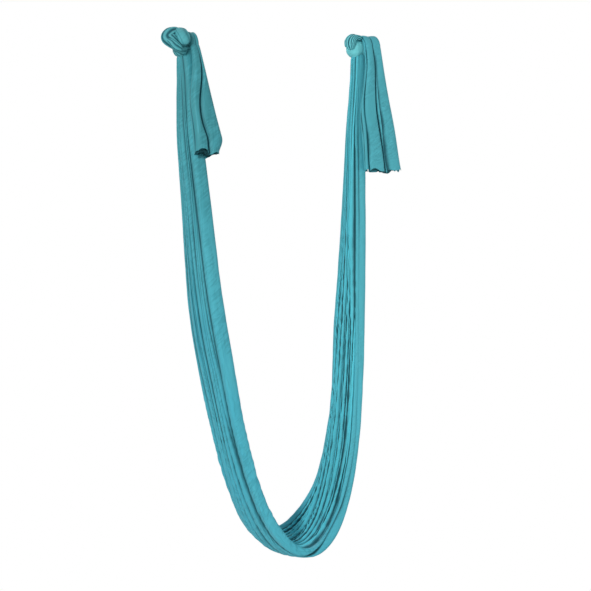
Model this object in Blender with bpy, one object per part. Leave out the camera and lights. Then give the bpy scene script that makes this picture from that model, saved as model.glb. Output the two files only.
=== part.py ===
# Aerial yoga hammock: one long cloth gathered lengthwise, knotted near each end and hung by the two knots.
# Metres and degrees, +Z up. The origin is midway between the two knots' centres. +X runs from the left
# knot to the right one, and -Y is the front, where the loose tails hang.
# Every hinge is on the X axis, so what turns keeps its X and its distance from that axis.

import math

import bmesh
import bpy
from mathutils import Vector

# The hung band.
hang_spacing = 0.640
hang_drop = 1.665
seat_width = 0.300
seat_thickness = 0.034
neck_thickness = 0.042
left_strand_swell = 0.022
right_strand_swell = 0.008
back_rise = 0.038
back_rise_power = 6
left_opening = 0.65
right_opening = 1.4
neck_roundness = 0.8
seat_roundness = 0.5
folds_per_layer = 4
fold_variation = 0.26
fold_rhythm = 2.4
fold_drift = 2.1
crest_height = 0.007
crest_rhythm = 1.9
crest_drift = 2.6
corner_share = 0.34
balance_shift = 0.009

# The left knot.
left_neck_width = 0.044
left_roll_radius = 0.040
left_roll_length = 0.044
roll_bluntness = 0.5
left_core_radius = 0.030
left_core_length = 0.023
core_bluntness = 0.15
left_turn_thickness = 0.014
left_turn_angle = 104.0
bight_reach = 0.066
bight_spacing = 0.040
bight_thickness = 0.034
bight_lift = 0.15
tuck_thickness = 0.015
tuck_bow = 0.005
tuck_start = 0.60
tuck_end = 0.86
tuck_stand_off = 0.75

# The right knot.
right_neck_width = 0.040
right_roll_radius = 0.030
right_roll_length = 0.036
right_core_radius = 0.028
right_core_length = 0.056
right_turn_thickness = 0.022
right_turn_width = 0.020
right_turn_angle = 112.0
right_second_turn_thickness = 0.024
turn_end_share = 0.72

# The loose tails: how far they hang below the knots' centres, and how wide and deep they fan out.
left_tail_drop = 0.350
left_tail_hem_width = 0.102
left_tail_reach = 0.008
right_tail_drop = 0.416
right_tail_hem_width = 0.126
right_tail_reach = 0.002
tail_root_depth = 0.014
tail_hem_depth = 0.042
tail_root_angle = 150.0
tail_flare = 1.3
tail_swell = 0.6
tail_hem_unevenness = 0.035

# Running and seating clearances.
turning_gap = 0.0007
seat_gap = 0.0005
fold_gap = 0.0006

# How finely the round and hanging stretches are stepped.
seat_steps = 9
strand_steps = 4
seat_bend = 80.0
turn_step = 10.0
roll_sides = 24
tube_sides = 10
tail_root_steps = 5
tail_steps = 7

half_spacing = hang_spacing / 2


def catenary_size():
    # A hanging cloth is a catenary. Its size is found by halving, so that it drops by hang_drop.
    low = hang_drop / 200
    high = hang_drop * 200
    for _ in range(100):
        size = (low + high) / 2
        if size * (math.cosh(half_spacing / size) - 1) > hang_drop:
            low = size
        else:
            high = size
    return (low + high) / 2


curve_size = catenary_size()
half_length = curve_size * math.sinh(half_spacing / curve_size)


def centre_line(run):
    # A point of the band's centre line and the slope there, at a signed length from the seat's middle.
    slope = math.atan(run / curve_size)
    x = curve_size * math.asinh(run / curve_size)
    z = curve_size * (1 / math.cos(slope) - 1) - hang_drop
    return x, z, slope


def run_at_height(height):
    return curve_size * math.sinh(math.acosh(1 + (height + hang_drop) / curve_size))


def runs_along_band():
    # Even turns round the seat, then even lengths up each strand to its knot.
    seat_end = curve_size * math.tan(math.radians(seat_bend))
    rising = [curve_size * math.tan(math.radians(seat_bend * step / seat_steps))
              for step in range(1, seat_steps + 1)]
    for step in range(1, strand_steps + 1):
        rising.append(seat_end + (half_length - seat_end) * step / strand_steps)
    return [-run for run in reversed(rising)] + [0.0] + rising


def stretches():
    # The lengths of the band that carry and the one that is sat in, each a hair short of the next.
    runs = runs_along_band()
    seat = runs[strand_steps:-strand_steps]
    left = runs[:strand_steps] + [seat[0] - fold_gap]
    right = [seat[-1] + fold_gap] + runs[-strand_steps:]
    return (("left_strand", left), ("seat", seat), ("right_strand", right))


def fullness(run):
    # 0 where the cloth is bunched at the knot, 1 at the middle of the seat.
    return max(0.0, 1 - abs(run) / half_length)


def band_width(run):
    # The left strand opens soon below its knot, the right one late.
    if run < 0:
        return left_neck_width + (seat_width - left_neck_width) * fullness(run) ** left_opening
    return right_neck_width + (seat_width - right_neck_width) * fullness(run) ** right_opening


def band_thickness(run):
    # Both strands swell between the knot and the seat, where the cloth is spread thin.
    full = fullness(run)
    swell = left_strand_swell if run < 0 else right_strand_swell
    return neck_thickness + (seat_thickness - neck_thickness) * full + 4 * swell * full * (1 - full)


def band_middle(run):
    # The band hangs slightly behind the knots, which balances the tails in front.
    return balance_shift * fullness(run)


def rounded_outline(low_a, high_a, low_b, high_b):
    # Eight corners of an outline that spans a and b, with its four corners cut off.
    cut = corner_share * min(high_a - low_a, high_b - low_b)
    return [
        (low_a, low_b + cut), (low_a, high_b - cut), (low_a + cut, high_b), (high_a - cut, high_b),
        (high_a, high_b - cut), (high_a, low_b + cut), (high_a - cut, low_b), (low_a + cut, low_b),
    ]


def fold_edges(run):
    # Where each fold of the band begins and ends across it. The folds are unlike in width.
    count = 3 * folds_per_layer
    part = run / half_length
    weights = [1 + fold_variation * math.sin(fold_rhythm * fold + fold_drift * math.cos(fold) * part)
               for fold in range(count)]
    start = band_middle(run) - band_width(run) / 2
    edges = [start]
    for weight in weights:
        edges.append(edges[-1] + band_width(run) * weight / sum(weights))
    return edges


def fold_outline(fold, run):
    # The outline of one fold across the band: a is along Y, b is outwards from the curve's inside.
    edges = fold_edges(run)
    low = edges[fold] + fold_gap / 2
    high = edges[fold + 1] - fold_gap / 2
    full = fullness(run)
    place = 2 * ((low + high) / 2 - band_middle(run)) / band_width(run)
    roundness = neck_roundness + (seat_roundness - neck_roundness) * full
    thickness = band_thickness(run) * math.sqrt(1 - roundness * place ** 2)
    crest = crest_height * math.sqrt(full) * math.sin(crest_rhythm * fold + crest_drift * run / half_length)
    middle = crest + back_rise * full ** back_rise_power * max(0.0, place) ** 2
    return rounded_outline(low, high, middle - thickness / 2, middle + thickness / 2)


def fold_rings(fold, runs):
    # One fold of the band, from the first of the runs to the last.
    rings = []
    for run in runs:
        x, z, slope = centre_line(run)
        outline = fold_outline(fold, run)
        rings.append([Vector((x - b * math.sin(slope), a, z + b * math.cos(slope))) for a, b in outline])
    return rings


def rest_on_roll(ring, radius):
    # Cuts the end of a fold to the roll that it bears on.
    for point in ring:
        point.z = -math.sqrt((radius + turning_gap) ** 2 - point.y ** 2)


def polar(x, radius, angle):
    # A point at an angle from straight down about the X axis, positive to the back.
    turn = math.radians(angle)
    return Vector((x, radius * math.sin(turn), -radius * math.cos(turn)))


def turned_rings(start, length, radius, bluntness):
    # A roll about the X axis whose ends are rounded in.
    rings = []
    for part in (-1.0, -0.82, -0.5, 0.5, 0.82, 1.0):
        ring_radius = radius * math.sqrt(1 - bluntness * (2 * abs(part) - 1) ** 2)
        x = start + length * (part + 1) / 2
        rings.append([polar(x, ring_radius, 360 * side / roll_sides) for side in range(roll_sides)])
    return rings


def turn_over_rings(start, width, radius, thickness, first_angle):
    # A turn of cloth that lies over a roll, from first_angle at the back to the same at the front.
    steps = max(2, round((360 - 2 * first_angle) / turn_step))
    rings = []
    for step in range(steps + 1):
        angle = first_angle + (360 - 2 * first_angle) * step / steps
        bulge = thickness * (turn_end_share + (1 - turn_end_share) * math.sin(math.pi * step / steps))
        outline = rounded_outline(start, start + width, radius, radius + bulge)
        rings.append([polar(x, reach, angle) for x, reach in outline])
    return rings


def tube_rings(points, thickness_across, thickness_level):
    # A flattened round tube along points. Its level thickness is along Y.
    rings = []
    for number, point in enumerate(points):
        before = points[max(number - 1, 0)]
        after = points[min(number + 1, len(points) - 1)]
        along = (after - before).normalized()
        level = (Vector((0, 1, 0)) - along * along.y).normalized()
        across = along.cross(level)
        turns = [2 * math.pi * side / tube_sides for side in range(tube_sides)]
        rings.append([point + level * math.cos(turn) * thickness_level / 2
                      + across * math.sin(turn) * thickness_across / 2 for turn in turns])
    return rings


def bight_points():
    # A hairpin in the XZ plane: out to the left, round, and back to the roll's left end.
    start = -left_roll_length / 2 - seat_gap
    bend = start - bight_reach + bight_spacing / 2 + bight_thickness / 2
    halfway = (start + bend) / 2
    radius = bight_spacing / 2
    middle = left_roll_radius * bight_lift
    points = [Vector((start, 0, middle + radius)), Vector((halfway, 0, middle + radius))]
    for step in range(9):
        turn = math.pi * step / 8
        points.append(Vector((bend - math.sin(turn) * radius, 0, middle + math.cos(turn) * radius)))
    return points + [Vector((halfway, 0, middle - radius)), Vector((start, 0, middle - radius))]


def tuck_points():
    # A small turn that lies across the front of the bight's lower run.
    level = -(bight_thickness + tuck_thickness) / 2 - seat_gap
    left = -left_roll_length / 2
    first = Vector((left - bight_reach * tuck_start, level, left_roll_radius * bight_lift))
    last = Vector((left - tuck_thickness * tuck_stand_off, level, -left_roll_radius * tuck_end))
    points = []
    for step in range(7):
        part = step / 6
        bow = math.sin(math.pi * part)
        points.append(first.lerp(last, part) + Vector((tuck_bow * bow, 0, tuck_bow * bow)))
    return points


def tail_seat(side):
    # Where a tail's root begins and ends along its core, the core's radius, and the knot's reach in front.
    if side == "left":
        start = left_roll_length / 2 + seat_gap
        end = left_roll_length / 2 + left_core_length
        return start, end, left_core_radius, left_roll_radius + left_turn_thickness
    start = 2 * right_turn_width + 2 * seat_gap - right_roll_length / 2
    end = right_roll_length / 2 + right_core_length
    knot_reach = right_roll_radius + max(right_turn_thickness, right_second_turn_thickness)
    return start, end, right_core_radius, knot_reach


def tail_hem(side):
    # How far a tail hangs, how far its hem reaches to the left, how wide the hem is.
    if side == "left":
        return left_tail_drop, left_tail_reach, left_tail_hem_width
    return right_tail_drop, right_tail_reach, right_tail_hem_width


def tail_rings(side, first, last, evenness):
    # One fold of a tail, between two shares of its width: over the core, then down in front of the strand.
    start, end, core_radius, knot_reach = tail_seat(side)
    drop, reach, hem_width = tail_hem(side)
    sign = -1 if side == "left" else 1
    neck_width = band_width(sign * half_length)
    inside = core_radius + turning_gap
    rings = []
    for step in range(tail_root_steps):
        angle = -tail_root_angle + (tail_root_angle - 90) * step / tail_root_steps
        low = start + (end - start) * first + fold_gap / 2
        high = start + (end - start) * last - fold_gap / 2
        outline = rounded_outline(low, high, inside, inside + tail_root_depth)
        rings.append([polar(x, distance, angle) for x, distance in outline])
    for step in range(tail_steps + 1):
        share = step / tail_steps
        height = -drop * evenness * share
        # The tail spreads over the strand only below what the knot can reach as it turns.
        spread = min(1.0, max(0.0, (-height - knot_reach) / (2 * knot_reach)))
        spread = spread * spread * (3 - 2 * spread)
        left_edge = start + (-reach - start) * spread
        right_edge = end + (hem_width - reach - end) * share ** tail_flare
        low = left_edge + (right_edge - left_edge) * first + fold_gap / 2
        high = left_edge + (right_edge - left_edge) * last - fold_gap / 2
        growth = band_width(sign * run_at_height(height)) - neck_width
        back = inside + growth / 2
        depth = tail_root_depth + (tail_hem_depth - tail_root_depth) * share ** tail_swell
        outline = rounded_outline(low, high, back, back + depth)
        rings.append([Vector((x, -distance, height)) for x, distance in outline])
    return rings


def add_empty(name, location, parent=None):
    empty = bpy.data.objects.new(name, None)
    empty.empty_display_size = 0.05
    empty.location = location
    empty.parent = parent
    bpy.context.scene.collection.objects.link(empty)
    return empty


def cloth_finish(name, colour):
    finish = bpy.data.materials.new(name)
    finish.use_nodes = True
    shader = finish.node_tree.nodes["Principled BSDF"]
    shader.inputs["Base Color"].default_value = (*colour, 1.0)
    shader.inputs["Roughness"].default_value = 0.55
    shader.inputs["Metallic"].default_value = 0.0
    return finish


def add_piece(name, rings, parent, colour):
    # A closed solid: the first ring is filled, and its face is extruded from ring to ring.
    bm = bmesh.new()
    end = bm.faces.new([bm.verts.new(point) for point in rings[0]])
    for number, ring in enumerate(rings[1:]):
        passed = end
        grown = bmesh.ops.extrude_face_region(bm, geom=[passed])
        end = next(item for item in grown["geom"] if isinstance(item, bmesh.types.BMFace))
        for vert, point in zip(end.verts, ring):
            vert.co = point
        if number > 0:
            bmesh.ops.delete(bm, geom=[passed], context="FACES_ONLY")
    bmesh.ops.recalc_face_normals(bm, faces=bm.faces)
    mesh = bpy.data.meshes.new(name)
    bm.to_mesh(mesh)
    bm.free()
    mesh.shade_smooth()
    mesh.set_sharp_from_angle(angle=math.radians(50))
    piece = bpy.data.objects.new(name, mesh)
    piece.data.materials.append(cloth_finish(name + "_cloth", colour))
    piece.parent = parent
    bpy.context.scene.collection.objects.link(piece)
    return piece


def make_band(sling_axis, front_axis, back_axis):
    layers = (("front_fold", front_axis), ("middle_fold", sling_axis), ("back_fold", back_axis))
    for layer, (layer_name, axis) in enumerate(layers):
        for number in range(folds_per_layer):
            fold = layer * folds_per_layer + number
            shade = 1 + 0.08 * math.sin(2.4 * fold)
            colour = (0.060 * shade, 0.350 * shade, 0.430 * shade)
            for stretch, runs in stretches():
                rings = fold_rings(fold, runs)
                if stretch == "left_strand":
                    rest_on_roll(rings[0], left_roll_radius)
                elif stretch == "right_strand":
                    rest_on_roll(rings[-1], right_roll_radius)
                add_piece(f"{layer_name}_{number + 1}_{stretch}", rings, axis, colour)


def make_left_knot(knot):
    colour = (0.055, 0.290, 0.345)
    half_roll = left_roll_length / 2
    over = left_roll_radius + seat_gap
    roll = turned_rings(-half_roll, left_roll_length, left_roll_radius, roll_bluntness)
    core = turned_rings(half_roll + seat_gap, left_core_length, left_core_radius, core_bluntness)
    turn = turn_over_rings(-half_roll, left_roll_length, over, left_turn_thickness, left_turn_angle)
    pieces = (
        ("left_knot_roll", roll),
        ("left_knot_core", core),
        ("left_knot_turn", turn),
        ("left_knot_bight", tube_rings(bight_points(), bight_thickness, bight_thickness)),
        ("left_knot_tuck", tube_rings(tuck_points(), tuck_thickness, tuck_thickness)),
    )
    for name, rings in pieces:
        add_piece(name, rings, knot, colour)


def make_right_knot(knot):
    colour = (0.075, 0.350, 0.410)
    half_roll = right_roll_length / 2
    over = right_roll_radius + seat_gap
    roll = turned_rings(-half_roll, right_roll_length, right_roll_radius, roll_bluntness)
    core = turned_rings(half_roll + seat_gap, right_core_length, right_core_radius, core_bluntness)
    add_piece("right_knot_roll", roll, knot, colour)
    add_piece("right_knot_core", core, knot, colour)
    for number, thickness in enumerate((right_turn_thickness, right_second_turn_thickness)):
        start = -half_roll + number * (right_turn_width + seat_gap)
        rings = turn_over_rings(start, right_turn_width, over, thickness, right_turn_angle)
        add_piece(f"right_knot_turn_{number + 1}", rings, knot, colour)


def make_tail(side, axis, shares, colour):
    # A tail is folded lengthwise. The shares are each fold's part of its width, left to right.
    first = 0.0
    for number, share in enumerate(shares):
        evenness = 1 - tail_hem_unevenness * (1 - math.sin(fold_rhythm * number + 1))
        rings = tail_rings(side, first, first + share, evenness)
        add_piece(f"{side}_tail_fold_{number + 1}", rings, axis, colour)
        first += share


def main():
    for old in list(bpy.data.objects):
        bpy.data.objects.remove(old, do_unlink=True)
    left_knot = add_empty("left_knot_centre", (-half_spacing, 0, 0))
    right_knot = add_empty("right_knot_centre", (half_spacing, 0, 0))
    sling_axis = add_empty("sling_swing_axis", (0, 0, 0))
    front_axis = add_empty("front_fold_open_axis", (0, 0, 0), sling_axis)
    back_axis = add_empty("back_fold_open_axis", (0, 0, 0), sling_axis)
    left_tail_axis = add_empty("left_tail_swing_axis", (-half_spacing, 0, 0), front_axis)
    right_tail_axis = add_empty("right_tail_swing_axis", (half_spacing, 0, 0), front_axis)
    make_band(sling_axis, front_axis, back_axis)
    make_left_knot(left_knot)
    make_right_knot(right_knot)
    make_tail("left", left_tail_axis, (0.30, 0.32, 0.38), (0.055, 0.290, 0.345))
    make_tail("right", right_tail_axis, (0.26, 0.34, 0.40), (0.070, 0.340, 0.400))


main()
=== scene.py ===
import math

import bmesh
import bpy
import numpy as np
from mathutils import Matrix, Vector


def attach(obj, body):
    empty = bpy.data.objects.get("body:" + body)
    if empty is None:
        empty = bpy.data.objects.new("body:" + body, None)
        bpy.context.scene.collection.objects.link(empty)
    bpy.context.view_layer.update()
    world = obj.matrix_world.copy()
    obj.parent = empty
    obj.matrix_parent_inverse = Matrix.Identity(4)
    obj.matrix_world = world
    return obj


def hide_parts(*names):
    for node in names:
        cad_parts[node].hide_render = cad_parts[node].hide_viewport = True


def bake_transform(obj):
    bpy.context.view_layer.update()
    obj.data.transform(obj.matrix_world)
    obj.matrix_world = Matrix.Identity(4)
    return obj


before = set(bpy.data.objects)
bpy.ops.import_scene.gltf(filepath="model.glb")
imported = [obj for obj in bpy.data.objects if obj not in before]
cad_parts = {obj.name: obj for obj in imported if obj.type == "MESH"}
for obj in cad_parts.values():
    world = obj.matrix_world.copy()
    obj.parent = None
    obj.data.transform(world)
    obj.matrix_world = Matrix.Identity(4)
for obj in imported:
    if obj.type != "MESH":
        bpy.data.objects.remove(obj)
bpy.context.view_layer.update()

# Looks of a hanging yoga hammock: one wide cloth gathered lengthwise, knotted near both ends.
# Metres, +Z up, +X from the left knot to the right one, -Y the front where the tails hang.

knotCentres = {"left": Vector((-0.32, 0, 0)), "right": Vector((0.32, 0, 0))}


# Camera, light and floor

cameraSettings = {
    "azimuth": -27.0,
    "elevation": 3.0,
    "roll": -2.4,
    "distance": 5.03,
    "target": (0.052, 0.0, -0.82),
    "lens": 92.0,
    "sensor": 36.0,
}

lightSettings = {
    "lamps": {
        "key_lamp": {"power": 4.5, "size": 0.7, "place": (1.1, -1.5, -0.9)},
        "fill_lamp": {"power": 140.0, "size": 0.8, "place": (-4.2, -3.2, 1.5)},
        "rim_lamp": {"power": 22.0, "size": 2.4, "place": (0.6, 3.4, 0.8)},
    },
    "aim": (0.0, 0.0, -0.95),
    "skyStrength": 0.31,
}

floorSettings = {
    "level": -2.25,
    "reach": 14.0,
    "colour": (0.86, 0.86, 0.85),
    "roughness": 0.9,
    "fadeBetween": (0.6, 1.4),
}


# Small number helpers

waveSettings = {
    "wanderScale": 1.4,
    "crinkleScale": 1.6,
    "crinkleMiddle": 0.637,
    "crinkleBend": 0.8,
    "bendRates": (0.6, 2.2),
}


def smooth(low, high, value):
    part = np.clip((value - low) / (high - low), 0.0, 1.0)
    return part * part * (3 - 2 * part)


def hump(shape, run):
    # Rises to its height between the first two runs and falls between the last two.
    height, (start, top, edge, end) = shape
    return height * smooth(start, top, run) * smooth(end, edge, run)


def throughPoints(points, steps):
    # A Catmull-Rom curve through points, with that many steps between each two.
    ends = np.concatenate([points[:1], points, points[-1:]])
    tangents = (ends[2:] - ends[:-2]) / 2
    part = (np.arange(steps) / steps)[:, None]
    pieces = []
    for number in range(len(points) - 1):
        pieces.append((2 * part**3 - 3 * part**2 + 1) * points[number]
                      + (part**3 - 2 * part**2 + part) * tangents[number]
                      + (3 * part**2 - 2 * part**3) * points[number + 1]
                      + (part**3 - part**2) * tangents[number + 1])
    return np.concatenate([*pieces, points[-1:]])


def wander(seed, along, lowest, highest, waves=4):
    # A slow waviness from about -1 to 1 along the cloth, the same each time.
    chance = np.random.RandomState(seed)
    total = np.zeros_like(along)
    for _ in range(waves):
        total += np.sin(2 * np.pi * along * chance.uniform(lowest, highest) + chance.uniform(0, 2 * np.pi))
    return total / math.sqrt(waves) / waveSettings["wanderScale"]


def crinkle(seed, across, along, rates, slants, waves=7):
    # Drawn wrinkles with sharp bottoms that run along or across, meet and part. About -1 to 1.
    chance = np.random.RandomState(seed)
    total = np.zeros_like(across)
    for _ in range(waves):
        rate = chance.uniform(*rates)
        phase = rate * across + chance.uniform(*slants) * along + chance.uniform(0, 1)
        bend = along * chance.uniform(*waveSettings["bendRates"]) + chance.uniform(0, 1)
        phase = phase + waveSettings["crinkleBend"] * np.sin(2 * np.pi * bend)
        total += np.abs(np.sin(np.pi * phase)) - waveSettings["crinkleMiddle"]
    return total * waveSettings["crinkleScale"] / math.sqrt(waves)


# Mesh helpers

mergeDistance = 0.00001


def beside(*parts):
    return np.concatenate(parts, axis=1)


def joined(*values):
    return np.stack(values, axis=-1)


def zigzag(hidden):
    # Places across the width of the folds that lie inside, and their heights, as shares.
    number = np.arange(2 * hidden["folds"])
    places = hidden["start"] + hidden["reach"] * ((number + 1) / len(number))
    return places, np.where(number % 2 == 0, hidden["low"], hidden["high"])


def lengthsAcross(points):
    steps = np.linalg.norm(np.diff(points, axis=1), axis=-1)
    return beside(np.zeros((len(points), 1)), np.cumsum(steps, axis=1))


def inwardAcross(points, turn):
    # Directions at right angles to each row, to its left where turn is 1.
    direction = np.gradient(points, axis=1)
    direction /= np.linalg.norm(direction, axis=-1, keepdims=True)
    return joined(-turn * direction[..., 1], turn * direction[..., 0])


def addObject(name, data):
    made = bpy.data.objects.new(name, data)
    bpy.context.scene.collection.objects.link(made)
    return made


def clothMesh(name, points, along, crease, closed=False):
    # A grid of rows and columns of points, with a UV map in metres across and along the cloth.
    rows, columns = points.shape[:2]
    bm = bmesh.new()
    bmesh.ops.create_grid(bm, x_segments=columns - 1, y_segments=rows - 1, size=0.5)
    places = np.array([vert.co[:2] for vert in bm.verts])
    column = np.rint((places[:, 0] + 0.5) * (columns - 1)).astype(int)
    row = np.rint((places[:, 1] + 0.5) * (rows - 1)).astype(int)
    mesh = bpy.data.meshes.new(name)
    bm.to_mesh(mesh)
    bm.free()
    mesh.vertices.foreach_set("co", points[row, column].astype(np.float32).ravel())
    corner = np.zeros(len(mesh.loops), np.int32)
    mesh.loops.foreach_get("vertex_index", corner)
    layer = mesh.uv_layers.get("UVMap") or mesh.uv_layers.new(name="UVMap")
    flat = joined(lengthsAcross(points)[row, column][corner], along[row][corner])
    layer.data.foreach_set("uv", flat.astype(np.float32).ravel())
    # The crease attribute marks where the materials paint shade in valleys and highlight on crests.
    depth = mesh.attributes.new("crease", "FLOAT", "POINT")
    depth.data.foreach_set("value", crease[row, column].astype(np.float32))
    mesh.update()
    if closed:
        bm = bmesh.new()
        bm.from_mesh(mesh)
        bmesh.ops.remove_doubles(bm, verts=bm.verts, dist=mergeDistance)
        bmesh.ops.recalc_face_normals(bm, faces=bm.faces)
        bm.to_mesh(mesh)
        bm.free()
    mesh.shade_smooth()
    return addObject(name, mesh)


# The band's shape. A run is a signed length along it from the seat's middle, negative to the left knot.
# A height with four runs rises and falls again between them, and reaches are lengths from the knots.

band = {
    "spacing": 0.64,
    "drop": 1.665,
    "seatWidth": 0.3,
    "seatThickness": 0.034,
    "seatRoundness": 0.5,
    "leftNeckWidth": 0.044,
    "rightNeckWidth": 0.04,
    "neckThickness": 0.042,
    "neckRoundness": 0.8,
    "leftSwell": 0.022,
    "rightSwell": 0.02,
    "leftOpening": 0.65,
    "rightOpening": 1.4,
    "knotDepth": 0.01,
    "knotNarrowing": 0.24,
    "knotNarrowingReach": (0.04, 0.01),
    "neckFullness": 0.12,
    "neckFullnessReach": (0.5, 0.06),
    "leftNeckShift": 0.012,
    "rightNeckShift": 0.009,
    "neckShiftReach": (0.32, 0.06),
    "balanceShift": 0.009,
    "leftBow": 0.009,
    "leftBowRun": -0.92,
    "leftBowReach": 0.26,
    "leftTrim": (0.14, (-0.85, -0.5, -0.28, -0.1)),
    "frontRise": 0.01,
    "backRise": 0.038,
    "risePower": 8,
    "backNarrowing": (0.26, (0.0, 0.3, 0.45, 0.9)),
    "backBulge": (0.014, (0.1, 0.3, 0.5, 0.85)),
    "flankSquareness": 0.6,
    "squareBetween": (0.03, 0.25),
    "sideBlend": (0.05, 0.45),
    "seatReach": 0.36,
    "seatStep": 0.005,
    "strandStep": 0.0083,
    "faceSteps": 26,
    "capSteps": 30,
}


def catenarySize():
    half = band["spacing"] / 2
    low, high = band["drop"] / 200, band["drop"] * 200
    for _ in range(100):
        size = (low + high) / 2
        if size * (math.cosh(half / size) - 1) > band["drop"]:
            low = size
        else:
            high = size
    return (low + high) / 2


curveSize = catenarySize()
halfLength = curveSize * math.sinh(band["spacing"] / 2 / curveSize)


def bandRuns():
    end = halfLength - band["knotDepth"]
    seat = np.arange(0, band["seatReach"], band["seatStep"])
    strand = np.linspace(band["seatReach"], end, round((end - band["seatReach"]) / band["strandStep"]))
    rising = np.concatenate([seat, strand])
    return np.concatenate([-rising[:0:-1], rising])


def towardsKnot(reach, run):
    return smooth(halfLength - reach[0], halfLength - reach[1], run)


def fullness(run):
    # 1 at the seat's middle, 0 at the knots.
    return np.clip(1 - np.abs(run) / halfLength, 0, 1)


def opening(side, full):
    # How much wider the band is than its neck on that side.
    return (band["seatWidth"] - band[side + "NeckWidth"]) * full ** band[side + "Opening"]


def bandSizes(run):
    full = fullness(run)
    left, right = (band[side + "NeckWidth"] + opening(side, full) for side in ("left", "right"))
    width = np.where(run < 0, left, right)
    swell = np.where(run < 0, band["leftSwell"], band["rightSwell"])
    thickness = band["neckThickness"] + (band["seatThickness"] - band["neckThickness"]) * full
    thickness = thickness + 4 * swell * full * (1 - full)
    roundness = band["neckRoundness"] + (band["seatRoundness"] - band["neckRoundness"]) * full
    inKnot = 1 - band["knotNarrowing"] * towardsKnot(band["knotNarrowingReach"], np.abs(run))
    nearKnot = 1 + band["neckFullness"] * towardsKnot(band["neckFullnessReach"], np.abs(run))
    trim = 1 - hump(band["leftTrim"], run)
    return full, width * inKnot * trim, thickness * inKnot * nearKnot * trim, roundness


def intoSpace(run, level, out):
    # level is along Y, out is away from the curve's hollow side when negative.
    slope = np.arctan(run / curveSize)
    x = curveSize * np.arcsinh(run / curveSize)
    z = curveSize * (1 / np.cos(slope) - 1) - band["drop"]
    return joined(x - out * np.sin(slope), level, z + out * np.cos(slope))


def bandSkin(sign):
    # Half of the band's outline in each row: outer face from the middle, edge, inner face back to it.
    run = bandRuns()
    full, width, thickness, roundness = (value[:, None] for value in bandSizes(run))
    half = width / 2
    rise = (band["backRise"] if sign > 0 else band["frontRise"]) * full ** band["risePower"]
    if sign > 0:
        half = half * (1 - hump(band["backNarrowing"], run))[:, None]
        rise = rise - hump(band["backBulge"], run)[:, None]
    capDepth = thickness * np.sqrt(1 - roundness) / 2
    flatEnd = half - capDepth
    level = flatEnd * np.linspace(0, 1, band["faceSteps"])
    face = thickness / 2 * np.sqrt(1 - roundness * (level / half) ** 2)
    turn = np.linspace(0, np.pi, band["capSteps"])[1:-1]
    squareness = 1 + (band["flankSquareness"] - 1) * smooth(*band["squareBetween"], full)
    capLevel = flatEnd + capDepth * np.sin(turn) ** squareness
    capOut = -face[:, -1:] * np.sign(np.cos(turn)) * np.abs(np.cos(turn)) ** squareness
    levels = beside(level, capLevel, level[:, ::-1])
    outs = beside(-face, capOut, face[:, ::-1])
    outs = outs + rise * (levels / half) ** 2
    points = joined(levels, outs)
    inward = inwardAcross(points, 1)
    inward[:, 0] = (0, 1)
    inward[:, -1] = (0, -1)
    corners = (band["faceSteps"] - 1, len(points[0]) - band["faceSteps"])
    return {"points": points, "lengths": lengthsAcross(points), "inward": inward, "corners": corners,
            "half": half, "thickness": thickness, "roundness": roundness, "rise": rise, "sign": sign,
            "run": run, "full": full}


def onSkin(skin, along, depth):
    # Points at a length along the outline in each row, that deep beneath it.
    result = np.zeros(along.shape + (2,))
    for row in range(len(along)):
        lengths = skin["lengths"][row]
        for axis in range(2):
            place = np.interp(along[row], lengths, skin["points"][row, :, axis])
            inward = np.interp(along[row], lengths, skin["inward"][row, :, axis])
            result[row, :, axis] = place + inward * depth[row]
    return result


def partOfSkin(skin, part):
    # Whole numbers are the outline's corners: on the band 0 to 1 is the outer face, 2 to 3 the inner face.
    lengths = skin["lengths"]
    stops = lengths[:, [0, *skin["corners"], -1]]
    whole = np.clip(np.floor(part).astype(int), 0, stops.shape[1] - 2)
    rows = np.arange(len(lengths))
    return stops[rows, whole] + (stops[rows, whole + 1] - stops[rows, whole]) * (part - whole)


def placeOnSkin(skin, part):
    # A pair is one place for the left strand and the seat, and one for the right strand.
    pair = part if isinstance(part, tuple) else (part, part)
    return partOfSkin(skin, np.interp(smooth(*band["sideBlend"], skin["run"]), (0, 1), pair))


def toSpace(skin, flat):
    run = skin["run"]
    middle = band["balanceShift"] * skin["full"]
    points = intoSpace(run[:, None], skin["sign"] * flat[..., 0] + middle, flat[..., 1])
    bow = band["leftBow"] * np.exp(-((run - band["leftBowRun"]) / band["leftBowReach"]) ** 2)
    points[..., 0] -= bow[:, None]
    for side, sign in (("left", -1), ("right", 1)):
        near = towardsKnot(band["neckShiftReach"], sign * run)
        points[..., 0] += band[side + "NeckShift"] * near[:, None]
    return points


# Folds. Across a face the cloth rises and falls in folds with sharp valleys, and some lean over the next.
# Folds and the borders between them are numbered from a face's start. Calm folds are nearly flat.

# A fold's waves: how far their seeds lie apart, then the slowest and the fastest rate.
foldSettings = {
    "stray": (3, 0.35, 1.3),
    "strayLimit": 0.62,
    "fade": (29, 1.0, 3.2),
    "fadeMiddle": 0.25,
    "fadeLeast": 0.3,
    "life": (41, 0.4, 1.6),
    "lifeMiddle": 0.8,
    "lifeSwing": 0.4,
    "lifeLimits": (0.25, 1.2),
    "lean": (67, 0.25, 0.9),
    "calmLean": 0.3,
    "bunching": 0.09,
    "sinkWidth": 0.03,
    "creaseHeight": 0.004,
    "hollowEdge": -0.0035,
    "hollowDepth": 0.006,
    "drawnSeed": 5,
    "drawnLeast": 0.35,
    "drawnMore": 0.65,
    "patch": (9, 0.8, 2.4),
    "patchMiddle": 0.55,
    "patchSwing": 0.45,
    "diagonalSeed": 15,
    "diagonalWaves": 4,
}


def foldWave(kind, settings, number, run):
    apart, lowest, highest = foldSettings[kind]
    return wander(settings["seed"] + apart * number, run, lowest, highest)


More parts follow.
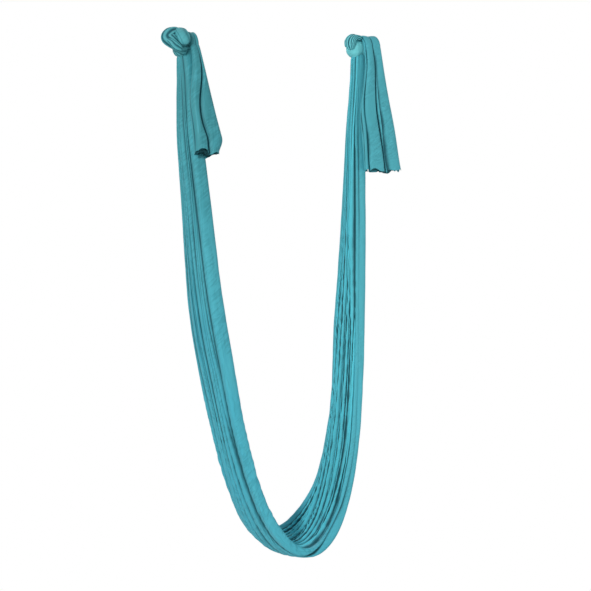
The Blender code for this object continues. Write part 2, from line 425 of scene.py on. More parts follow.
def foldBorders(skin, settings):
    # Lengths along the outline in each row where the folds meet, strayed from even shares of their zones.
    rules = foldSettings
    run = skin["run"]
    stops = [placeOnSkin(skin, part) for part in settings["span"]]
    places = []
    sizes = []
    for zone, weights in enumerate(settings["weights"]):
        reach = stops[zone + 1] - stops[zone]
        # A pair is a fold's weight before the crossing and after it.
        widths = [np.interp(smooth(*settings["crossing"], run), (0, 1), weight) if isinstance(weight, tuple)
                  else weight + 0.0 * run for weight in weights]
        whole = sum(widths)
        start = 0.0 * run
        for width in widths:
            places.append(stops[zone] + reach * start / whole)
            sizes.append(reach * width / whole)
            start = start + width
    borders = [places[0]]
    for number in range(1, len(sizes)):
        room = np.minimum(sizes[number - 1], sizes[number])
        stray = foldWave("stray", settings, number, run) * settings["wander"]
        borders.append(places[number] + room * np.clip(stray, -rules["strayLimit"], rules["strayLimit"]))
    return [*borders, stops[-1]]


def foldKeys(skin, settings):
    # Points of one face, fold by fold: length along the outline, depth beneath it, share of a crease, which
    # the materials paint as shade.
    rules = foldSettings
    run = skin["run"]
    borders = foldBorders(skin, settings)
    # Fades weaken the painted shade of the creases along the borders.
    faded = {number: np.interp(run, *rows) for number, rows in settings.get("fadedBorders", {}).items()}
    fades = []
    for number in range(len(borders)):
        loss = rules["fadeMiddle"] - foldWave("fade", settings, number, run)
        fade = np.clip(1 - settings["fading"] * loss, rules["fadeLeast"], 1.0)
        fades.append(fade * faded.get(number, 1.0))
    alongs = []
    depths = []
    creases = []
    for number in range(len(borders) - 1):
        calm = number in settings.get("calm", ())
        width = borders[number + 1] - borders[number]
        life = rules["lifeMiddle"] + rules["lifeSwing"] * foldWave("life", settings, number, run)
        life = np.clip(life, *rules["lifeLimits"])
        height = np.minimum(settings["height"] * width, settings["highest"]) * life
        lean = settings["lean"] * foldWave("lean", settings, number, run)
        if calm:
            height = height * settings["calmShare"]
            lean = lean * rules["calmLean"]
        steps = settings["calmSteps"] if calm else settings["steps"]
        part = np.arange(steps) / steps
        part = part - rules["bunching"] * np.sin(2 * np.pi * part)
        crest = np.sin(np.pi * part) ** settings["roundness"]
        shift = np.sin(np.pi * part) ** 2
        alongs.append(borders[number][:, None] + width[:, None] * (part + lean[:, None] * shift))
        sink = 0.0 if calm else settings["sink"]
        sink = sink * np.minimum(width, rules["sinkWidth"])[:, None]
        depths.append(sink + height[:, None] * (0.5 - crest))
        sharpness = settings["calmSharpness"] if calm else 1.0
        fade = fades[number][:, None] * (1 - part) + fades[number + 1][:, None] * part
        full = np.clip(height / rules["creaseHeight"], 0, 1)
        # The crease share is painted shade in the fold's valleys and painted highlight on its crest.
        creases.append((1 - crest) ** sharpness * fade * full[:, None])
    along = beside(*alongs, borders[-1][:, None])
    depth = beside(*depths, depths[-1][:, :1])
    crease = beside(*creases, creases[-1][:, :1])
    for hollow in settings.get("hollows", ()):
        # One fold stands over the next, which falls away towards it into a long hollow.
        away = hollow["side"] * (along - borders[hollow["border"]][:, None])
        reach = np.interp(run, hollow["runs"], hollow["widths"])[:, None]
        fall = np.interp(run, hollow["runs"], hollow["depths"])[:, None]
        share = np.where(away > 0, smooth(1.0, 0.0, away / reach), smooth(rules["hollowEdge"], 0.0, away))
        depth = depth + fall * share
        # Painted shade along the hollow.
        shade = share ** hollow["power"] * np.clip(fall / rules["hollowDepth"], 0, 1)
        if hollow["border"] in faded:
            shade = shade * faded[hollow["border"]][:, None]
        crease = np.maximum(crease, shade)
    return along, depth, crease


def drawn(skin, settings, along):
    # Fine drawn wrinkles of one face, smaller towards the knots, and slanting ones between diagonalRuns.
    rules = foldSettings
    run = skin["run"]
    seed = settings["seed"]
    length = run[:, None] + 0.0 * along
    amount = settings["drawnHeight"] * (rules["drawnLeast"] + rules["drawnMore"] * skin["full"] ** 0.5)
    lines = crinkle(seed + rules["drawnSeed"], along, length, settings["drawnRates"],
                    settings["drawnSlants"])
    patches = rules["patchSwing"] * foldWave("patch", settings, 1, run)[:, None]
    reach = np.interp(run, settings["diagonalRuns"], (0.0, 1.0, 1.0, 0.0))[:, None]
    slanting = crinkle(seed + rules["diagonalSeed"], along, length, settings["diagonalRates"],
                       settings["diagonalSlants"], rules["diagonalWaves"])
    return amount * lines * (rules["patchMiddle"] + patches) + settings["diagonalHeight"] * reach * slanting


# The band's four faces. Each zone of the outline has its own folds, given by their widths.

outerFolds = {
    "fading": 0.4,
    "calmSharpness": 1.8,
    "steps": 28,
    "height": 0.65,
    "highest": 0.0165,
    "roundness": 0.6,
    "sink": 0.1,
    "wander": 0.6,
    "lean": 0.4,
    "drawnRates": (24, 80),
    "drawnSlants": (-5.0, 5.0),
    "diagonalHeight": 0.0011,
    "diagonalRates": (36, 80),
}

innerFolds = {
    "fading": 0.2,
    "steps": 22,
    "height": 0.78,
    "highest": 0.0165,
    "roundness": 0.62,
    "sink": 0.12,
    "lean": 0.55,
    "drawnHeight": 0.0022,
    "drawnRates": (22, 75),
    "drawnSlants": (-9.0, 9.0),
    "diagonalHeight": 0.0016,
    "diagonalRuns": (-0.3, 0.05, 0.9, 1.4),
    "diagonalRates": (30, 80),
}

# How strongly the painted shade at the join shows, at runs along the band.
joinFading = ((0.2, 0.5, 1.02, 1.06, 1.12, 1.16, 1.5), (1.0, 0.2, 0.2, 1.0, 1.0, 0.2, 0.4))

bandFolds = {
    "front_outer": {
        **outerFolds,
        "span": (0.0, 0.74, (2.16, 1.72)),
        "weights": ((1.5, 0.9, 0.5), ((0.25, 2.5), (2.5, 0.54))),
        "crossing": (-0.16, 0.14),
        "fadedBorders": {4: ((0.2, 0.5, 1.08, 1.2, 1.5), (1.0, 0.3, 0.3, 1.0, 1.0)), 5: joinFading},
        "calm": (3, 4),
        "calmShare": 0.3,
        "calmSteps": 40,
        "hollows": (
            {"border": 4, "side": -1, "runs": (-1.5, -1.1, -0.75, -0.5, -0.28, -0.1, 0.04, 0.1),
             "widths": (0.006, 0.012, 0.018, 0.024, 0.036, 0.026, 0.012, 0.006),
             "depths": (0.003, 0.009, 0.012, 0.013, 0.013, 0.01, 0.007, 0.0), "power": 1.2},
        ),
        "drawnHeight": 0.0011,
        "diagonalRuns": (-0.75, -0.5, -0.12, 0.05),
        "diagonalSlants": (14, 30),
        "seed": 11,
    },
    "back_outer": {
        **outerFolds,
        "span": (0.0, 0.8, 2.14),
        "weights": ((1.0, 0.5, 1.5), (0.8, 1.8)),
        "calm": (4,),
        "calmShare": 0.4,
        "calmSteps": 34,
        "drawnHeight": 0.0012,
        "diagonalRuns": (-0.7, -0.45, -0.12, 0.05),
        "diagonalSlants": (-30, -14),
        "seed": 47,
    },
    "front_inner": {
        **innerFolds,
        "span": ((2.16, 1.72), 3.0),
        "weights": ((0.5, 1.7, 0.4, 1.3, 0.5, 1.6),),
        "fadedBorders": {0: joinFading},
        "wander": 0.95,
        "hollows": (
            {"border": 0, "side": 1, "runs": (-1.5, -0.8, -0.2, 0.1, 0.5, 0.72, 0.88, 1.02, 1.2, 1.36, 1.5),
             "widths": (0.004, 0.008, 0.012, 0.016, 0.014, 0.01, 0.01, 0.008, 0.01, 0.008, 0.005),
             "depths": (0.0, 0.002, 0.004, 0.008, 0.007, 0.001, 0.005, 0.0, 0.006, 0.003, 0.0),
             "power": 2.5},
        ),
        "diagonalSlants": (10, 26),
        "seed": 511,
    },
    "back_inner": {
        **innerFolds,
        "span": (2.14, 3.0),
        "weights": ((0.8, 1.4, 0.6, 1.3, 0.7, 1.2),),
        "wander": 0.8,
        "diagonalSlants": (-26, -10),
        "seed": 547,
    },
}

# The outer cloth laps round the join, under the inner one. Sizes: a share of half the width, a limit.
edgeSettings = {
    "seam": (0.1, 0.0075),
    "lap": (0.1, 0.008),
    "join": (0.12, 0.0085),
    "outerStart": (1.0, 0.5),
    "innerEnd": (0.7, 1.1),
    "innerEndGap": 0.0008,
    "outerLaps": (0.9, 1.0, 0.7, 0.0, -1.0),
    "outerDepths": (0.35, 0.5, 0.65, 0.85, 1.0),
    "innerLaps": (1.0, 0.5),
    "innerDepths": (1.0, 0.8),
}

# The rest of the cloth's width lies inside, in zigzags between the outer and the inner faces.
bandHidden = {"folds": 25, "start": 0.02, "reach": 0.8, "low": -0.46, "high": 0.44}


def bandFace(skin, side, face):
    # The outer piece runs from the middle round the edge, the inner piece from there back to the middle.
    settings = bandFolds[f"{side}_{face}"]
    edge = edgeSettings
    half = skin["half"]
    along, depth, crease = foldKeys(skin, settings)
    depth = depth - drawn(skin, settings, along)
    seamDepth, lap, joinDepth = (np.minimum(half * share, most)
                                 for share, most in (edge["seam"], edge["lap"], edge["join"]))
    join = placeOnSkin(skin, bandFolds[side + "_outer"]["span"][-1])[:, None]
    if face == "outer":
        first = np.zeros((len(half), 2))
        firstDepth = seamDepth * np.array(edge["outerStart"])
        last = join + lap * np.array(edge["outerLaps"])
        lastDepth = joinDepth * np.array(edge["outerDepths"])
    else:
        first = join - lap * np.array(edge["innerLaps"])
        firstDepth = joinDepth * np.array(edge["innerDepths"])
        last = placeOnSkin(skin, settings["span"][-1])[:, None] - np.full(2, edge["innerEndGap"])
        lastDepth = seamDepth * np.array(edge["innerEnd"])
    along = beside(first, along, last)
    depth = beside(firstDepth, depth, lastDepth)
    # The seam and the join are painted as full shade.
    crease = beside(np.ones_like(firstDepth), crease, np.ones_like(lastDepth))
    return along, depth, crease


def hiddenFolds(skin):
    places, heights = zigzag(bandHidden)
    level = skin["half"] * places
    share = (level / skin["half"]) ** 2
    room = skin["thickness"] / 2 * np.sqrt(1 - skin["roundness"] * share)
    return joined(level, heights * room + skin["rise"] * share)


def makeBand():
    made = {}
    for side, sign in (("front", -1), ("back", 1)):
        skin = bandSkin(sign)
        for face in ("outer", "inner"):
            along, depth, crease = bandFace(skin, side, face)
            flat = onSkin(skin, along, depth)
            if face == "inner":
                hidden = hiddenFolds(skin)
                flat = beside(flat, hidden)
                # The hidden folds are painted as full shade.
                crease = beside(crease, np.ones(hidden.shape[:2]))
            name = f"{side}_{face}_cloth"
            made[name] = clothMesh(name, toSpace(skin, flat), skin["run"], crease)
    return made


# The loose tails. Their zones are the left edge, the front face, the right edge and the back face.

tails = {
    "left": {
        "drop": 0.35,
        "hemWidth": 0.102,
        "hemReach": 0.01,
        "hemInset": 0.008,
        "curl": 0.024,
        "curlFrom": 0.84,
        "coreRadius": 0.03,
        "start": 0.0142,
        "end": 0.045,
        "spreadBetween": (0.032, 0.2),
        "weights": ((1.0,), (2.95, 2.75), (1.0,), (1.0, 0.8, 1.1)),
        "calm": (0, 1, 2),
        "hollows": (
            {"border": 2, "side": 1, "runs": (0.0, 0.15, 0.5, 1.12), "widths": (0.006, 0.009, 0.013, 0.018),
             "depths": (0.001, 0.004, 0.008, 0.01), "power": 3.0},
        ),
        "frontHemLift": 0.052,
        "hemDip": 0.013,
        "seed": 83,
    },
    "right": {
        "drop": 0.416,
        "hemWidth": 0.126,
        "hemReach": 0.02,
        "hemInset": 0.002,
        "curl": 0.008,
        "curlFrom": 0.5,
        "coreRadius": 0.028,
        "start": 0.0125,
        "end": 0.074,
        "spreadBetween": (0.036, 0.24),
        "weights": ((1.0,), ((0.4, 1.05), (2.65, 2.0), 0.45, 2.75), (1.0,), (1.0, 0.8, 1.1)),
        "crossing": (0.25, 1.1),
        "calm": (0, 2, 4, 5),
        "hollows": (
            {"border": 3, "side": 1, "runs": (0.0, 0.2, 0.8, 1.33), "widths": (0.006, 0.009, 0.012, 0.014),
             "depths": (0.003, 0.007, 0.009, 0.008), "power": 2.5},
            {"border": 2, "side": -1, "runs": (0.0, 0.2, 0.45, 0.8, 1.33),
             "widths": (0.005, 0.009, 0.01, 0.008, 0.009), "depths": (0.002, 0.008, 0.006, 0.003, 0.006),
             "power": 2.5},
        ),
        "frontHemLift": 0.012,
        "hemDip": 0.007,
        "seed": 120,
    },
    "span": (0.0, 0.45, 2.5, 3.0, 4.0),
    "gap": 0.0007,
    "rootDepth": 0.014,
    "hemDepth": 0.042,
    "swell": 0.6,
    "flare": 1.3,
    "curlPower": 1.5,
    "capShare": 0.48,
    "capSteps": 18,
    "faceSteps": 30,
    "rootAngle": 205.0,
    "rootTuck": 34.0,
    "leastTuck": 0.01,
    "rootRows": 26,
    "hangRows": 100,
    "rootLength": 0.04,
    "runScale": 3.2,
    "hidden": {"folds": 84, "start": 0.12, "reach": 0.76, "low": 0.3, "high": 0.74},
    "insideShade": 0.3,
    "liftBetween": (-0.1, 0.55),
    "hemWaves": 0.012,
    "hemWaveSeed": 3,
    "hemWaveScale": 9,
    "hemWaveRates": (0.6, 2.4),
    "hemWavesFrom": 0.8,
    "dipAt": 0.42,
    "dipReach": 0.16,
    "dipFrom": 0.85,
    "fading": 0.45,
    "calmShare": 0.35,
    "calmSharpness": 1.4,
    "calmSteps": 26,
    "steps": 18,
    "height": 0.5,
    "highest": 0.01,
    "roundness": 0.65,
    "sink": 0.12,
    "wander": 0.35,
    "lean": 0.4,
}


def tailSkin(side):
    # The tail's outline in each row. Rows go over the core of the knot first and then down to the hem.
    shape = tails[side]
    rows = tails["rootRows"]
    sign = -1 if side == "left" else 1
    angles = np.radians(-tails["rootAngle"] + (tails["rootAngle"] - 90) * np.arange(rows) / rows)
    angle = np.concatenate([angles, np.full(tails["hangRows"], -np.pi / 2)])
    share = np.concatenate([np.zeros(rows), np.linspace(0, 1, tails["hangRows"])])
    fall = shape["drop"] * share
    spread = smooth(*shape["spreadBetween"], fall)
    left = shape["start"] + (-shape["hemReach"] - shape["start"]) * spread
    right = shape["end"] + (shape["hemWidth"] - shape["hemInset"] - shape["end"]) * share ** tails["flare"]
    right = right - shape["curl"] * smooth(shape["curlFrom"], 1.0, share) ** tails["curlPower"]
    strand = sign * curveSize * np.sinh(np.arccosh(1 + (band["drop"] - fall) / curveSize))
    back = shape["coreRadius"] + tails["gap"] + opening(side, fullness(strand)) / 2
    tuck = (angle + math.radians(tails["rootAngle"])) / math.radians(tails["rootTuck"])
    tuck = np.sqrt(1 - (1 - np.clip(tuck, tails["leastTuck"], 1)) ** 2)
    depth = tuck * (tails["rootDepth"] + (tails["hemDepth"] - tails["rootDepth"]) * share ** tails["swell"])
    left, right, back, depth = (value[:, None] for value in (left, right, back, depth))
    radius = np.minimum(depth, right - left) * tails["capShare"]
    turn = np.linspace(0, np.pi, tails["capSteps"])
    flat = np.linspace(0, 1, tails["faceSteps"])[1:-1]
    middle = back + depth / 2
    level = left + radius + (right - left - 2 * radius) * flat
    leftCap = joined(left + radius - radius * np.sin(turn), middle - depth / 2 * np.cos(turn))
    rightCap = joined(right - radius + radius * np.sin(turn), middle + depth / 2 * np.cos(turn))
    front = joined(level, (back + depth) * np.ones(len(flat)))
    rear = joined(level[:, ::-1], back * np.ones(len(flat)))
    points = beside(leftCap, front, rightCap, rear)
    corners = (len(turn) - 1, len(turn) + len(flat), 2 * len(turn) + len(flat) - 1)
    return {"points": points, "lengths": lengthsAcross(points), "inward": inwardAcross(points, -1),
            "corners": corners, "run": tails["runScale"] * shape["drop"] * share, "share": share,
            "angle": angle, "left": left, "right": right, "back": back, "depth": depth, "tuck": tuck}


def makeTail(side):
    shape = tails[side]
    skin = tailSkin(side)
    left, back, depth = (skin[name] for name in ("left", "back", "depth"))
    width = skin["right"] - left
    share = skin["share"][:, None]
    path, beneath, crease = foldKeys(skin, {**tails, **shape})
    flat = onSkin(skin, path, beneath * skin["tuck"][:, None])
    # The rest of the width lies inside, in zigzags between the front and the back.
    places, heights = zigzag(tails["hidden"])
    level = left + width * places
    flat = beside(flat, joined(level, back + depth * heights))
    crease = beside(crease, np.full(level.shape, tails["insideShade"]))
    across, out = flat[..., 0], flat[..., 1]
    frontness = np.clip((out - back) / depth, 0, 1)
    leftness = 1 - (across - left) / width
    lift = shape["frontHemLift"] * frontness ** 2 * smooth(*tails["liftBetween"], leftness)
    waves = tails["hemWaves"] * wander(shape["seed"] + tails["hemWaveSeed"],
                                       across * tails["hemWaveScale"] + frontness, *tails["hemWaveRates"])
    fall = shape["drop"] * share * (1 - lift - waves * smooth(tails["hemWavesFrom"], 1.0, share))
    dip = np.exp(-((leftness - tails["dipAt"]) / tails["dipReach"]) ** 2)
    fall = fall + shape["hemDip"] * dip * smooth(tails["dipFrom"], 1.0, share)
    angle = skin["angle"][:, None]
    points = joined(across, out * np.sin(angle), -out * np.cos(angle) - fall)
    points = points + np.array(knotCentres[side])
    steps = np.abs(np.diff(skin["angle"])) * tails["rootLength"] + shape["drop"] * np.diff(skin["share"])
    along = np.concatenate([[0.0], np.cumsum(steps)])
    piece = clothMesh(side + "_tail_cloth", points, along, crease)
    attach(piece, side + "_tail")
    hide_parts(*[f"{side}_tail_fold_{number}" for number in (1, 2, 3)])
    return piece


# The knots

knotSettings = {
    "pathSteps": 12,
    "columns": 96,
    "squareness": 0.85,
    "sway": 0.9,
    "swayLength": 1.2,
    "swayRates": (0.4, 1.1),
    "uneven": 0.5,
    "groovePower": 0.7,
    "fullDepth": 0.003,
    "endPower": 10,
}

# Each knot piece is a pleated stretch of the gathered cloth along a path round its knot's centre:
# x, y, z from the centre, then its width and thickness there. The hub is what it winds round.
knotPieces = {
    "left_knot_body": {
        "path": ((-0.026, 0, 0, 0.03, 0.03), (-0.018, 0, 0, 0.058, 0.058), (-0.004, 0, 0, 0.072, 0.072),
                 (0.006, 0, 0, 0.068, 0.068), (0.013, 0, 0, 0.054, 0.054), (0.03, 0, 0, 0.054, 0.054),
                 (0.044, 0, 0, 0.044, 0.044)),
        "upward": (0, 0, 1),
        "pleats": 14,
        "pleatDepth": 0.0016,
        "replaces": ("left_knot_roll", "left_knot_core"),
    },
    "left_knot_lobe": {
        "path": ((-0.006, 0.046, 0.004, 0.024, 0.012), (-0.007, 0.04, 0.026, 0.036, 0.018),
                 (-0.009, 0.016, 0.044, 0.04, 0.022), (-0.01, -0.016, 0.044, 0.041, 0.026),
                 (-0.01, -0.042, 0.029, 0.042, 0.028), (-0.01, -0.053, 0.012, 0.039, 0.025),
                 (-0.009, -0.052, -0.001, 0.03, 0.018)),
        "pleats": 5,
        "pleatDepth": 0.001,
        "hub": (0.0, 0.0, 0.0),
        "replaces": ("left_knot_turn",),
    },
    "left_knot_loop": {
        "path": ((0.004, -0.002, 0.04, 0.03, 0.026), (-0.02, -0.008, 0.041, 0.042, 0.036),
                 (-0.04, -0.014, 0.036, 0.046, 0.036), (-0.051, -0.018, 0.025, 0.046, 0.03),
                 (-0.042, -0.024, 0.013, 0.044, 0.034), (-0.028, -0.028, 0.002, 0.038, 0.032),
                 (-0.012, -0.03, -0.008, 0.026, 0.022)),
        "pleats": 8,
        "pleatDepth": 0.003,
        "hub": (-0.028, 0.01, 0.02),
        "replaces": ("left_knot_bight",),
    },
    "left_knot_strap": {
        "path": ((-0.058, -0.03, 0.016, 0.01, 0.01), (-0.05, -0.042, 0.008, 0.02, 0.016),
                 (-0.04, -0.048, -0.002, 0.026, 0.018), (-0.029, -0.05, -0.011, 0.024, 0.018),
                 (-0.018, -0.046, -0.017, 0.014, 0.012)),
        "pleats": 7,
        "pleatDepth": 0.0022,
        "hub": (0.0, 0.0, 0.0),
        "replaces": ("left_knot_tuck",),
    },
    "right_knot_body": {
        "path": ((-0.032, 0, -0.002, 0.018, 0.018), (-0.027, 0, -0.002, 0.04, 0.04),
                 (-0.012, 0, -0.001, 0.061, 0.061), (0.0, 0, 0, 0.059, 0.059), (0.011, 0, 0, 0.053, 0.053),
                 (0.018, 0, 0, 0.05, 0.05), (0.052, 0, 0, 0.05, 0.05), (0.072, 0, 0, 0.036, 0.036)),
        "upward": (0, 0, 1),
        "pleats": 8,
        "pleatDepth": 0.0003,
        "replaces": ("right_knot_roll", "right_knot_core"),
    },
    "right_knot_wrap": {
        "path": ((-0.028, -0.02, -0.006, 0.024, 0.01), (-0.031, -0.019, 0.01, 0.036, 0.016),
                 (-0.026, -0.017, 0.026, 0.042, 0.018), (-0.013, -0.014, 0.036, 0.044, 0.018),
                 (0.002, -0.012, 0.035, 0.042, 0.018), (0.0115, -0.012, 0.031, 0.038, 0.02)),
        "pleats": 11,
        "pleatDepth": 0.003,
        "hub": (-0.012, -0.012, -0.006),
        "replaces": ("right_knot_turn_1",),
    },
    "right_knot_cap": {
        "path": ((0.007, 0.019, 0.032, 0.028, 0.015), (-0.004, 0.016, 0.04, 0.036, 0.018),
                 (-0.016, 0.012, 0.038, 0.04, 0.018), (-0.027, 0.01, 0.024, 0.038, 0.018),
                 (-0.031, 0.01, 0.006, 0.026, 0.012)),
        "pleats": 11,
        "pleatDepth": 0.003,
        "hub": (-0.012, 0.0, -0.006),
        "replaces": ("right_knot_turn_2",),
    },
}


def bent(value, power):
    return np.sign(value) * np.abs(value) ** power


def makeKnotPiece(name):
    settings = knotPieces[name]
    rules = knotSettings
    side = name.split("_")[0]
    path = throughPoints(np.array(settings["path"], float), rules["pathSteps"])
    count = len(path)
    centre = path[:, :3]
    along = np.gradient(centre, axis=0)
    along /= np.linalg.norm(along, axis=1, keepdims=True)
    if "upward" in settings:
        out = np.repeat(np.array([settings["upward"]], float), count, axis=0)
    else:
        out = centre - np.array(settings["hub"])
    out -= along * np.sum(out * along, axis=1, keepdims=True)
    out /= np.linalg.norm(out, axis=1, keepdims=True)
    level = np.cross(along, out)
    turn = 2 * np.pi * np.arange(rules["columns"] + 1) / rules["columns"]
    pleats = settings["pleats"]
    lengthwise = np.linspace(0, rules["swayLength"], count)[:, None]
    sway = rules["sway"] * wander(pleats, lengthwise, *rules["swayRates"])
    uneven = rules["uneven"] * np.sin(turn * 2 + pleats)
    valley = 1 - np.abs(np.sin(pleats * turn / 2 + sway + uneven)) ** rules["groovePower"]
    groove = settings["pleatDepth"] * valley
    ends = np.sqrt(np.clip(1 - (2 * np.arange(count) / (count - 1) - 1) ** rules["endPower"], 0, 1))[:, None]
    wide = (path[:, 3:4] / 2 - groove) * ends * bent(np.cos(turn), rules["squareness"])
    thick = (path[:, 4:5] / 2 - groove) * ends * bent(np.sin(turn), rules["squareness"])
    points = centre[:, None] + level[:, None] * wide[..., None] + out[:, None] * thick[..., None]
    points = points + np.array(knotCentres[side])
    # Painted shade in the pleats' grooves.
    crease = valley * min(1.0, settings["pleatDepth"] / rules["fullDepth"])
    piece = clothMesh(name, points, lengthsAcross(centre[None])[0], crease, closed=True)
    side + "_knot_cloth"
    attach(piece, "knots")
    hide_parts(*settings["replaces"])
    return piece


# Scene set up

def makeCamera():
    settings = cameraSettings
    azimuth, elevation, roll = (math.radians(settings[name]) for name in ("azimuth", "elevation", "roll"))
    back = Vector((math.sin(azimuth) * math.cos(elevation), -math.cos(azimuth) * math.cos(elevation),
                   math.sin(elevation)))
    level = Vector((0, 0, 1)).cross(back).normalized()
    upright = back.cross(level)
    right = level * math.cos(roll) + upright * math.sin(roll)
    up = upright * math.cos(roll) - level * math.sin(roll)
    place = Vector(settings["target"]) + back * settings["distance"]
    data = bpy.data.cameras.new("camera")
    data.lens = settings["lens"]
    data.sensor_width = settings["sensor"]
    camera = addObject("camera", data)
    camera.matrix_world = Matrix.Translation(place) @ Matrix((right, up, back)).transposed().to_4x4()
    bpy.context.scene.camera = camera


def makeLamp(name):
    settings = lightSettings["lamps"][name]
    data = bpy.data.lights.new(name, "AREA")
    data.energy = settings["power"]
    data.shape = "DISK"
    data.size = settings["size"]
    lamp = addObject(name, data)
    lamp.location = settings["place"]
    lamp.rotation_euler = (Vector(lightSettings["aim"]) - lamp.location).to_track_quat("-Z", "Y").to_euler()


class Socket:
    # A shader socket that takes part in Python sums.

    def __init__(self, tree, link):
        self.tree = tree
        self.link = link

    def sum(self, operation, first, second):
        return self.tree.node("Math", {"operation": operation}, {0: first, 1: second})

    def __add__(self, other):
        return self.sum("ADD", self, other)

    def __radd__(self, other):
        return self.sum("ADD", other, self)

    def __sub__(self, other):
        return self.sum("SUBTRACT", self, other)

    def __rsub__(self, other):
        return self.sum("SUBTRACT", other, self)

    def __mul__(self, other):
        return self.sum("MULTIPLY", self, other)

    def __rmul__(self, other):
        return self.sum("MULTIPLY", other, self)


class Shader:
    # One material's or the world's node tree, with one method that makes any node.

    def __init__(self, owner):
        owner.use_nodes = True
        self.nodes = owner.node_tree.nodes
        self.links = owner.node_tree.links
        self.nodes.clear()

    def node(self, kind, settings=None, inputs=None, output=0):
        made = self.nodes.new("ShaderNode" + kind)
        for name, value in (settings or {}).items():
            setattr(made, name, value)
        for name, value in (inputs or {}).items():
            if isinstance(value, Socket):
                self.links.new(value.link, made.inputs[name])
            else:
                made.inputs[name].default_value = value
        return Socket(self, made.outputs[output]) if made.outputs else None

    def noise(self, vector, inputs, dimensions="2D"):
        return self.node("TexNoise", {"noise_dimensions": dimensions},
                         {"Vector": vector, "Scale": 1.0, **inputs})

    def colourMix(self, factor, first, second):
        first = first if isinstance(first, Socket) else (*first, 1.0)
        return self.node("Mix", {"data_type": "RGBA"},
                         {0: factor, 6: first, 7: (*second, 1.0)}, output=2)

    def smoothRange(self, value, low, high):
        return self.node("MapRange", {"interpolation_type": "SMOOTHSTEP"},
                         {"Value": value, "From Min": low, "From Max": high, "To Min": 0.0, "To Max": 1.0})


def makeWorld():
    world = bpy.data.worlds.new("studio")
    bpy.context.scene.world = world
    shader = Shader(world)
    seen = [shader.node("LightPath", output=name)
            for name in ("Is Camera Ray", "Is Glossy Ray", "Is Transmission Ray")]
    plain = seen[0] + seen[1] + seen[2]
    plain = plain.sum("MINIMUM", plain, 1.0)
    strength = lightSettings["skyStrength"] + plain * (1.0 - lightSettings["skyStrength"])
    sky = shader.node("Background", None, {"Color": (1, 1, 1, 1), "Strength": strength})
    shader.node("OutputWorld", None, {"Surface": sky})


def makeFloor():
    bm = bmesh.new()
    bmesh.ops.create_grid(bm, x_segments=1, y_segments=1, size=floorSettings["reach"])
    bmesh.ops.translate(bm, vec=(0, 0, floorSettings["level"]), verts=bm.verts)
    mesh = bpy.data.meshes.new("floor")
    bm.to_mesh(mesh)
    bm.free()
    material = bpy.data.materials.new("pale_floor")
    shader = Shader(material)
    place = shader.node("TexCoord", output="Object")
    away = shader.node("VectorMath", {"operation": "LENGTH"}, {0: place}, output="Value")
    fade = shader.smoothRange(away, *(math.hypot(reach, floorSettings["level"])
                                      for reach in floorSettings["fadeBetween"]))
    paint = shader.node("BsdfPrincipled", None, {
        "Base Color": (*floorSettings["colour"], 1.0), "Roughness": floorSettings["roughness"]})
    glow = shader.node("Emission", None, {"Color": (1, 1, 1, 1), "Strength": 1.0})
    camera = shader.node("LightPath", output="Is Camera Ray")
    mixed = shader.node("MixShader", None, {0: fade * camera, 1: paint, 2: glow})
    shader.node("OutputMaterial", None, {"Surface": mixed})
    mesh.materials.append(material)
    floor = addObject("floor", mesh)


# The cloth's finish and its painted light and shade

